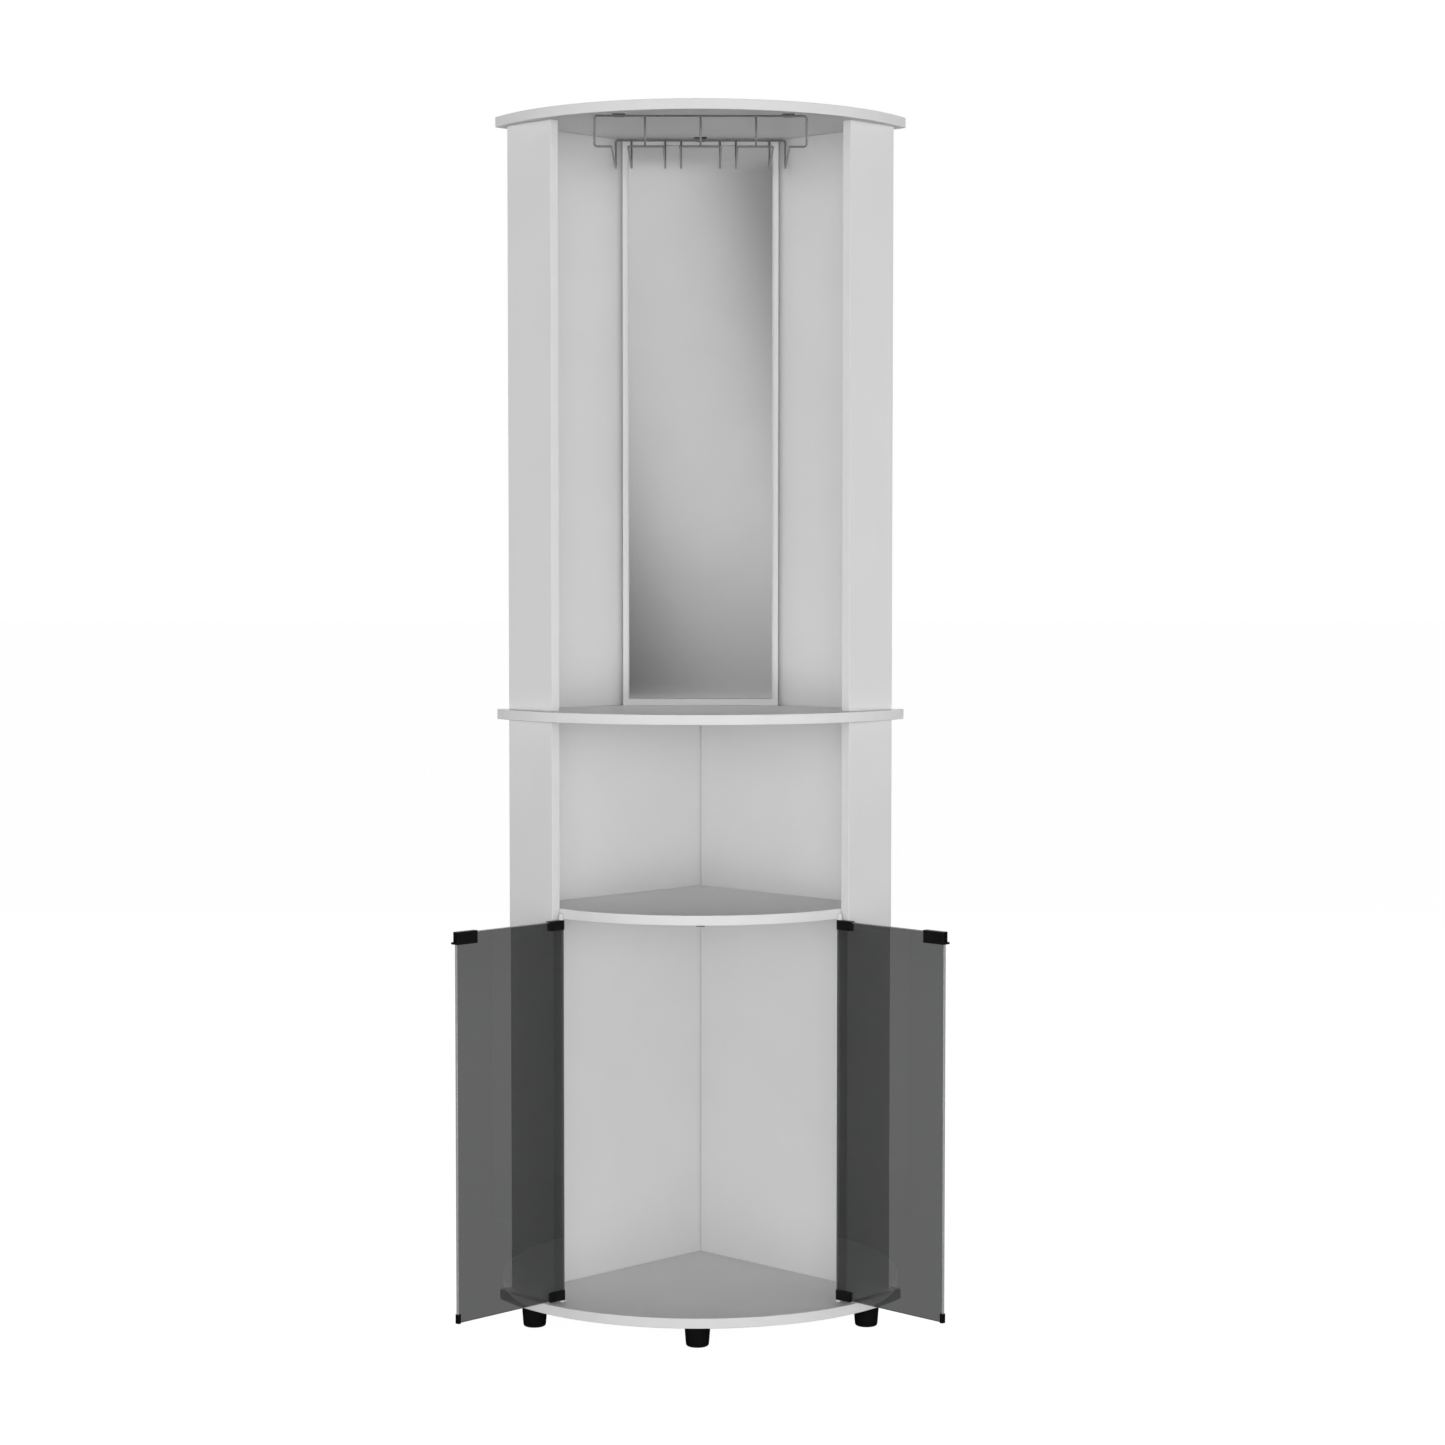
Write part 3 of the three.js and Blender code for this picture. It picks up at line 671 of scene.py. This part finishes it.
def clip_pad(x, y):
    """The pad with its two front corners rounded, and the head of the pin."""
    half, front = CLIP_WIDTH / 2, y - CLIP_TAB + CLIP_CORNER
    outline = [
        (x + half, y - WIRE), (x - half, y - WIRE),
        *arc_points((x - half + CLIP_CORNER, front), CLIP_CORNER, 180, 270),
        *arc_points((x + half - CLIP_CORNER, front), CLIP_CORNER, 270, 360),
    ]
    pad = soften(prism(outline, TOP_UNDER - CLIP_THICK, TOP_UNDER), CLIP_ROUND, 2, SHEET_CORNER)
    pin = (x, y - CLIP_TAB / 2 - CLIP_PIN_FORWARD, TOP_UNDER - CLIP_THICK)
    return merge(pad, lathe(CLIP_PIN_PROFILE, pin, CLIP_PIN_SIDES))


def clip_strip(x, y, wire_height):
    """The strip comes down behind the wire, goes round under it and up in front."""
    inner = WIRE + STRIP_CLEAR
    outer = WIRE + STRIP_OUTER
    half_turn = [math.pi * (1 + i / STRIP_STEPS) for i in range(STRIP_STEPS + 1)]
    section = [
        (-outer, TOP_UNDER),
        *((outer * math.cos(a), wire_height + outer * math.sin(a)) for a in half_turn),
        (outer, TOP_UNDER),
        (inner, TOP_UNDER),
        *((inner * math.cos(a), wire_height + inner * math.sin(a)) for a in reversed(half_turn)),
        (-inner, TOP_UNDER),
    ]
    reach = CLIP_WIDTH / 2 - STRIP_INSET
    strip = prism(section, -reach, reach)
    strip.transform(Matrix(((0, 0, 1, x), (1, 0, 0, y), (0, 1, 0, 0), (0, 0, 0, 1))))
    return soften(outward(strip), STRIP_ROUND, 2, SHEET_CORNER)


def rack_clip(name, x, y, wire_height, node):
    """A clip that holds one of the two upper wires; the satin mirror shows no image of it."""
    bm = merge(paint(clip_pad(x, y), 0), paint(clip_strip(x, y, wire_height), 1))
    piece(name, bm, CABINET, [node], (dark_plastic, wire_metal)).visible_glossy = False


rack_clip("rack_front_left_saddle", LEFT_CLIP_X, RACK_FRONT, RACK_TOP, "rack_front_left_clip")
rack_clip("rack_front_right_saddle", RIGHT_CLIP_X, RACK_FRONT, RACK_TOP, "rack_front_right_clip")
rack_clip("rack_rear_saddle", 0, RACK_REAR, RACK_REAR_TOP, "rack_rear_clip")

# Doors, each drawn in its own frame: X along the glass from the pivot, Y towards the door's inner face
GLASS_HALF = 2.5
GLASS_WIDTH = 206.5
GLASS_BOTTOM_GAP = 4  # above the bottom board
GLASS_TOP_GAP = 3  # below the shelf
GLASS_BEVEL = 0.6
GLASS_FACE = 0.01  # square metres, less than the large faces of a pane
GLASS_PAST_PIVOT = 3  # hinge edge of the glass beyond the pivot axis
PIVOT_FORWARD = 1.7  # pivot axis in front of the stile's rear face
PIVOT_CLEAR = 5  # pivot axis off the stile's inner edge
GLASS_NEAR = -GLASS_PAST_PIVOT
GLASS_FAR = GLASS_NEAR + GLASS_WIDTH
GLASS_LOW = BOTTOM_TOP + GLASS_BOTTOM_GAP
GLASS_HIGH = SHELF_UNDER - GLASS_TOP_GAP

# Hinge fittings and pulls
FITTING_HALF = 4.5
FITTING_WALL = 1.5  # over the edge of the glass
FITTING_HEIGHT = 14.3
FITTING_LENGTH = 26
FITTING_ROUND = 0.4
FITTING_STEPS = 14
FITTING_SCREW_X = 17
FITTING_TOP = GLASS_HIGH + FITTING_WALL
FITTING_BOTTOM = GLASS_LOW - FITTING_WALL
PIN_RADIUS, PIN_TIP_RADIUS = 2, 1.5
PIN_REACH = 6.7  # out of its fitting
PIN_SINK = 0.5  # root of the pin inside its fitting
PIN_TAPER = 0.5  # length of its narrowing tip
PIN_SIDES = 20
SCREW_HEAD_PROFILE = ((0, -0.5), (3, -0.5), (3, 0.35), (2.7, 0.6), (1.5, 0.6), (1.3, -0.3), (0, -0.3))
SCREW_HEAD_SIDES = 24
PULL_LENGTH = 38.5
PULL_HEIGHT = 18.5
PULL_END_WALL = 1
PULL_LIP = 4.8
PULL_LIP_THICK = 3.2
PULL_ROUND = 0.35
PULL_SCREW_BACK = 29  # from the free end of the pull
PULL_SCREW_RISE = 11  # above its lower edge

# Guards on the lower free corners
GUARD_REACH = 4.5
GUARD_WALL = 0.9
GUARD_HALF = 3.3
GUARD_RISE = 12.8  # above the lower edge of the glass
GUARD_ROUND = 0.5


def door_matrix(side):
    """From a door's own frame to the metres of the cabinet."""
    x, y = plan(side, STILE_BACK + PIVOT_FORWARD, STILE_INNER + PIVOT_CLEAR)
    out = 1 / ROOT2
    local = Matrix(((side * out, -side * out, 0, x), (-out, -out, 0, y), (0, 0, 1, 0), (0, 0, 0, 1)))
    return FROM_REAR_CORNER @ local


def screw_head(x, z):
    """Head of a clamping screw on the inner face of a fitting."""
    return lathe(SCREW_HEAD_PROFILE, (x, FITTING_HALF, z), SCREW_HEAD_SIDES, (0, 1, 0))


def hinge_fitting(low, high, pin_end):
    """Rounded clamp on the edge of the glass, with its pivot pin and clamping screw."""
    outline = [
        (FITTING_LENGTH, -FITTING_HALF), (FITTING_LENGTH, FITTING_HALF),
        *arc_points((0, 0), FITTING_HALF, 90, 270, FITTING_STEPS),
    ]
    bm = soften(prism(outline, low, high), FITTING_ROUND, 3, FITTING_CORNER)
    root = high - PIN_SINK if pin_end > high else low + PIN_SINK
    length = abs(pin_end - root)
    pin = ((0, 0), (PIN_RADIUS, 0), (PIN_RADIUS, length - PIN_TAPER), (PIN_TIP_RADIUS, length), (0, length))
    merge(bm, lathe(pin, (0, 0, root), PIN_SIDES, (0, 0, math.copysign(1, pin_end - root))))
    return merge(bm, screw_head(FITTING_SCREW_X, (low + high) / 2))


def door_pull():
    """Clip over the upper free corner, with a lip in front to pull the door by."""
    low, end = FITTING_TOP - PULL_HEIGHT, GLASS_FAR + PULL_END_WALL
    lip_top, lip_front = low + PULL_LIP_THICK, -FITTING_HALF - PULL_LIP
    section = [
        (-FITTING_HALF, FITTING_TOP), (-FITTING_HALF, lip_top), (lip_front, lip_top), (lip_front, low),
        (FITTING_HALF, low), (FITTING_HALF, FITTING_TOP),
    ]
    bm = prism(section, end - PULL_LENGTH, end)
    bm.transform(Matrix(((0, 0, 1, 0), (1, 0, 0, 0), (0, 1, 0, 0), (0, 0, 0, 1))))
    soften(outward(bm), PULL_ROUND, 3, FITTING_CORNER)
    return merge(bm, screw_head(end - PULL_SCREW_BACK, low + PULL_SCREW_RISE))


def corner_guard():
    """Small cap over the lower free corner of the glass."""
    outline = rectangle(GLASS_FAR - GUARD_REACH, GLASS_FAR + GUARD_WALL, -GUARD_HALF, GUARD_HALF)
    return soften(prism(outline, GLASS_LOW - GUARD_WALL, GLASS_LOW + GUARD_RISE), GUARD_ROUND)


def glass_pane():
    outline = rectangle(GLASS_NEAR, GLASS_FAR, -GLASS_HALF, GLASS_HALF)
    return soften(prism(outline, GLASS_LOW, GLASS_HIGH), GLASS_BEVEL, 1)


def pane_faces(face):
    """The two large faces of a pane are smoked glass, the narrow ones are ground."""
    return 0 if face.calc_area() > GLASS_FACE else 1


def top_hinge():
    return hinge_fitting(FITTING_TOP - FITTING_HEIGHT, FITTING_TOP, FITTING_TOP + PIN_REACH)


def bottom_hinge():
    return hinge_fitting(FITTING_BOTTOM, FITTING_BOTTOM + FITTING_HEIGHT, FITTING_BOTTOM - PIN_REACH)


METAL_FITTINGS = (
    ("top_hinge", "top_hinge_fitting", top_hinge),
    ("bottom_hinge", "bottom_hinge_fitting", bottom_hinge),
    ("pull_clip", "door_pull", door_pull),
)
for side, word in SIDES:
    body = f"{word}_door"
    matrix = door_matrix(side)
    pane = piece(
        f"{word}_door_pane", glass_pane(), body, [f"{word}_door_glass"],
        (smoked_glass, glass_edge), pane_faces, matrix,
    )
    pane.visible_shadow = False
    for label, node, make in METAL_FITTINGS:
        piece(
            f"{word}_{label}", make(), body, [f"{word}_{node}"], (black_metal,), matrix=matrix,
        )
    piece(
        f"{word}_corner_guard", corner_guard(), body, [f"{word}_door_corner_cap"],
        (black_plastic,), matrix=matrix,
    )

# Feet: radius and height, from the recess in the base up the tapered side to the board
FOOT_PROFILE = (
    (0, 1.2), (11.5, 1.2), (13.2, 0), (14.6, 0), (15.7, 0.5), (16.5, 1.5), (16.9, 2.8), (17.4, 8),
    (18.9, 27), (19.2, 29.6), (19.5, 30), (19.5, 31.7), (19.2, FOOT), (0, FOOT),
)
FOOT_SIDES = 64
for word in ("front_left", "front_right", "front_centre", "rear"):
    low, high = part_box(f"{word}_foot")
    middle = (low + high) / 2 / MM
    bm = lathe(FOOT_PROFILE, (middle.x, middle.y - REAR_CORNER_Y, 0), FOOT_SIDES)
    piece(f"{word}_tapered_foot", bm, CABINET, [f"{word}_foot"], (black_plastic,))

# Magnetic catch
CATCH_ROUND = 0.8
catch_low, catch_high = (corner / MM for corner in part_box("catch_body"))
catch_outline = rectangle(
    catch_low.x, catch_high.x, catch_low.y - REAR_CORNER_Y, catch_high.y - REAR_CORNER_Y,
)
bm = soften(prism(catch_outline, catch_low.z, catch_high.z), CATCH_ROUND)
piece("catch_housing", bm, CABINET, ["catch_body"], (black_plastic,))

# Caps over the shelf screws: radius, and height off the wall's outer face
SCREW_CAP_PROFILE = ((0, -1), (6, -1), (6, 0.2), (5.6, 0.6), (4.2, 0.9), (2, 1.05), (0, 1.1))
SCREW_CAP_SIDES = 32
SHELF_SCREW_SHARE = 0.49  # of the wall's length
for side, word in SIDES:
    start = WALL_INSET if side < 0 else WALL_INNER + GAP
    along = start + SHELF_SCREW_SHARE * (STILE_BACK - GAP - start)
    place = (*plan(side, along, WALL_INSET), SHELF_TOP - BOARD / 2)
    bm = lathe(SCREW_CAP_PROFILE, place, SCREW_CAP_SIDES, (side / ROOT2, 1 / ROOT2, 0))
    piece(f"{word}_screw_cap", bm, CABINET, [f"{word}_shelf_screw"], (white_nylon,))

# The small solids that stay as they are get their finish here
SMALL = (("_dowel", beech), ("_magnet", zinc), ("_screw", zinc), ("_bush", white_nylon))
for name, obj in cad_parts.items():
    for ending, material in SMALL:
        if name.endswith(ending):
            obj.data.materials.clear()
            obj.data.materials.append(material)

# Floor and backdrop
WHITE = (1, 1, 1, 1)
FLOOR_HALF = 60  # metres
FLOOR_GREY = (0.1, 0.1, 0.1, 1)
FLOOR_ROUGHNESS = 0.9
FLOOR_GLOW = 0.985  # where it is seen directly; the light on the floor adds the rest up to white


def math_node(tree, operation, *terms):
    """A math node whose terms are numbers or other nodes' outputs."""
    node = tree.nodes.new("ShaderNodeMath")
    node.operation = operation
    for socket, term in zip(node.inputs, terms):
        if isinstance(term, (int, float)):
            socket.default_value = term
        else:
            tree.links.new(term, socket)
    return node.outputs[0]


def seen_directly(tree):
    """1 for rays from the camera, a reflection or through glass, 0 for light that spreads."""
    path = tree.nodes.new("ShaderNodeLightPath")
    total = path.outputs["Is Camera Ray"]
    for name in ("Is Glossy Ray", "Is Transmission Ray"):
        total = math_node(tree, "MAXIMUM", total, path.outputs[name])
    return total


def make_floor():
    """A wide floor that looks white and keeps shadows, and lights nothing from below."""
    material = bpy.data.materials.new("studio_floor")
    material.use_nodes = True
    tree = material.node_tree
    shader = tree.nodes["Principled BSDF"]
    shader.inputs["Base Color"].default_value = FLOOR_GREY
    shader.inputs["Roughness"].default_value = FLOOR_ROUGHNESS
    shader.inputs["Specular IOR Level"].default_value = 0.0
    shader.inputs["Emission Color"].default_value = WHITE
    glow = math_node(tree, "MULTIPLY", seen_directly(tree), FLOOR_GLOW)
    tree.links.new(glow, shader.inputs["Emission Strength"])
    bm = bmesh.new()
    bmesh.ops.create_grid(bm, x_segments=1, y_segments=1, size=FLOOR_HALF)
    floor = to_object("floor", bm, (material,), None, Matrix.Identity(4))
    floor.visible_diffuse = False


# Light
DOME = 3.7  # strength straight ahead at the horizon
DOME_FADE = 0.5  # power of the fall from the front to the sides
HORIZON_FADE = 17  # power of the fall from the horizon up and down
LAMP_WIDTH, LAMP_HEIGHT = 2.4, 1.2
LAMPS = (
    # name, place in metres, watts, and how far below itself it aims
    ("left_soft_box", (-3.8, -1.02, 1.15), 14, 0.0),
    ("right_soft_box", (3.8, -1.02, 1.15), 26, 0.0),
    ("low_soft_box", (0, -3.94, 0.5), 32, 0.0),
    ("rear_soft_box", (0, 3.4, 3.4), 170, 2.0),
)


def make_world():
    """A white backdrop, and a wide low dome of light that is brightest in front."""
    world = bpy.data.worlds.new("studio")
    bpy.context.scene.world = world
    world.use_nodes = True
    tree = world.node_tree
    tree.nodes.clear()
    dome = tree.nodes.new("ShaderNodeBackground")
    backdrop = tree.nodes.new("ShaderNodeBackground")
    backdrop.inputs["Strength"].default_value = 1.0
    for shader in (dome, backdrop):
        shader.inputs["Color"].default_value = WHITE
    direction = tree.nodes.new("ShaderNodeSeparateXYZ")
    tree.links.new(tree.nodes.new("ShaderNodeTexCoord").outputs["Generated"], direction.inputs["Vector"])
    ahead = math_node(tree, "MULTIPLY", direction.outputs["Y"], -1)
    ahead = math_node(tree, "POWER", math_node(tree, "MAXIMUM", ahead, 0), DOME_FADE)
    tilt = math_node(tree, "POWER", math_node(tree, "ABSOLUTE", direction.outputs["Z"]), 2)
    level = math_node(tree, "POWER", math_node(tree, "MULTIPLY_ADD", tilt, -1, 1), HORIZON_FADE)
    strength = math_node(tree, "MULTIPLY", math_node(tree, "MULTIPLY", ahead, DOME), level)
    tree.links.new(strength, dome.inputs["Strength"])
    mix = tree.nodes.new("ShaderNodeMixShader")
    output = tree.nodes.new("ShaderNodeOutputWorld")
    tree.links.new(seen_directly(tree), mix.inputs["Fac"])
    tree.links.new(dome.outputs["Background"], mix.inputs[1])
    tree.links.new(backdrop.outputs["Background"], mix.inputs[2])
    tree.links.new(mix.outputs["Shader"], output.inputs["Surface"])


def soft_box(name, place, watts, drop):
    """A wide lamp that faces the cabinet and doesn't show in it; drop is how far below itself it aims."""
    data = bpy.data.lights.new(name, "AREA")
    data.shape = "RECTANGLE"
    data.size = LAMP_WIDTH
    data.size_y = LAMP_HEIGHT
    data.energy = watts
    lamp = bpy.data.objects.new(name, data)
    lamp.location = place
    lamp.rotation_mode = "QUATERNION"
    lamp.rotation_quaternion = Vector((-place[0], -place[1], -drop)).to_track_quat("-Z", "Y")
    lamp.visible_glossy = False
    lamp.visible_transmission = False
    bpy.context.scene.collection.objects.link(lamp)


make_floor()
make_world()
for lamp in LAMPS:
    soft_box(*lamp)

# Studio cards, seen in reflections only, with sizes and places in metres
BAND_START = 0.53  # the band's ramp starts this far left of the card's middle
BAND_DARK_AT = (0.16, 0.84)  # along the ramp
BAND_LIGHT_AT = (0.4, 0.6)
FADE_REST = 0.3  # share of a card's light that is left below its fade
FRONT_CARD_Y = -2.2
FRONT_CARD_HALF = 0.55
FRONT_CARD_LOW, FRONT_CARD_HIGH = 0.45, 2.65
FRONT_CARD_DARK, FRONT_CARD_LIGHT = 0.07, 0.62
FRONT_CARD_SLANT = math.radians(14.6)
FRONT_CARD_FADE = (-0.8, -0.3)  # heights from its middle
FLAG_X = 0.95
FLAG_FRONT, FLAG_REAR = -0.85, 0.3
FLAG_HEIGHT = 0.75
FLAG_LIFT = 0.002  # floor flags above the floor
FLAG_GLOW = 0.015


def make_card(name, corners, dark, light, slant=0.0, fade=None):
    """A card with a slanting light band; fade darkens it towards its foot, between two heights."""
    material = bpy.data.materials.new(name)
    material.use_nodes = True
    tree = material.node_tree
    tree.nodes.clear()
    glow = tree.nodes.new("ShaderNodeEmission")
    coords = tree.nodes.new("ShaderNodeTexCoord").outputs["Object"]
    mapping = tree.nodes.new("ShaderNodeMapping")
    mapping.inputs["Rotation"].default_value = (0, slant, 0)
    tree.links.new(coords, mapping.inputs["Vector"])
    across = tree.nodes.new("ShaderNodeSeparateXYZ")
    tree.links.new(mapping.outputs["Vector"], across.inputs["Vector"])
    ramp = tree.nodes.new("ShaderNodeValToRGB")
    ramp.color_ramp.interpolation = "EASE"
    stops = ramp.color_ramp.elements
    for stop, position in zip(stops, BAND_DARK_AT):
        stop.position = position
        stop.color = (dark, dark, dark, 1)
    for position in BAND_LIGHT_AT:
        stops.new(position).color = (light, light, light, 1)
    tree.links.new(math_node(tree, "ADD", across.outputs["X"], BAND_START), ramp.inputs["Fac"])
    out = tree.nodes.new("ShaderNodeOutputMaterial")
    tree.links.new(ramp.outputs["Color"], glow.inputs["Color"])
    tree.links.new(glow.outputs["Emission"], out.inputs["Surface"])
    if fade:
        height = tree.nodes.new("ShaderNodeSeparateXYZ")
        tree.links.new(coords, height.inputs["Vector"])
        spread = tree.nodes.new("ShaderNodeMapRange")
        spread.inputs["From Min"].default_value = fade[0]
        spread.inputs["From Max"].default_value = fade[1]
        spread.inputs["To Min"].default_value = FADE_REST
        tree.links.new(height.outputs["Z"], spread.inputs["Value"])
        tree.links.new(spread.outputs["Result"], glow.inputs["Strength"])
    bm = bmesh.new()
    centre = sum((Vector(c) for c in corners), Vector()) / 4
    bm.faces.new([bm.verts.new(Vector(c) - centre) for c in corners])
    card = to_object(name, bm, (material,), None, Matrix.Identity(4))
    card.location = centre
    for ray in ("camera", "diffuse", "transmission", "volume_scatter", "shadow"):
        setattr(card, f"visible_{ray}", False)


front = rectangle(-FRONT_CARD_HALF, FRONT_CARD_HALF, FRONT_CARD_LOW, FRONT_CARD_HIGH)
make_card(
    "front_card", [(x, FRONT_CARD_Y, z) for x, z in front], FRONT_CARD_DARK, FRONT_CARD_LIGHT,
    FRONT_CARD_SLANT, FRONT_CARD_FADE,
)
for side, word in SIDES:
    edge = FLAG_X * side
    standing = [(edge, y, z) for y, z in rectangle(FLAG_FRONT, FLAG_REAR, 0, FLAG_HEIGHT)]
    lying = [(x, y, FLAG_LIFT) for x, y in rectangle(0, edge, FLAG_FRONT, FLAG_REAR)]
    make_card(f"{word}_flag", standing, FLAG_GLOW, FLAG_GLOW)
    make_card(f"{word}_floor_flag", lying, FLAG_GLOW, FLAG_GLOW)

bpy.context.scene.view_settings.view_transform = "Standard"
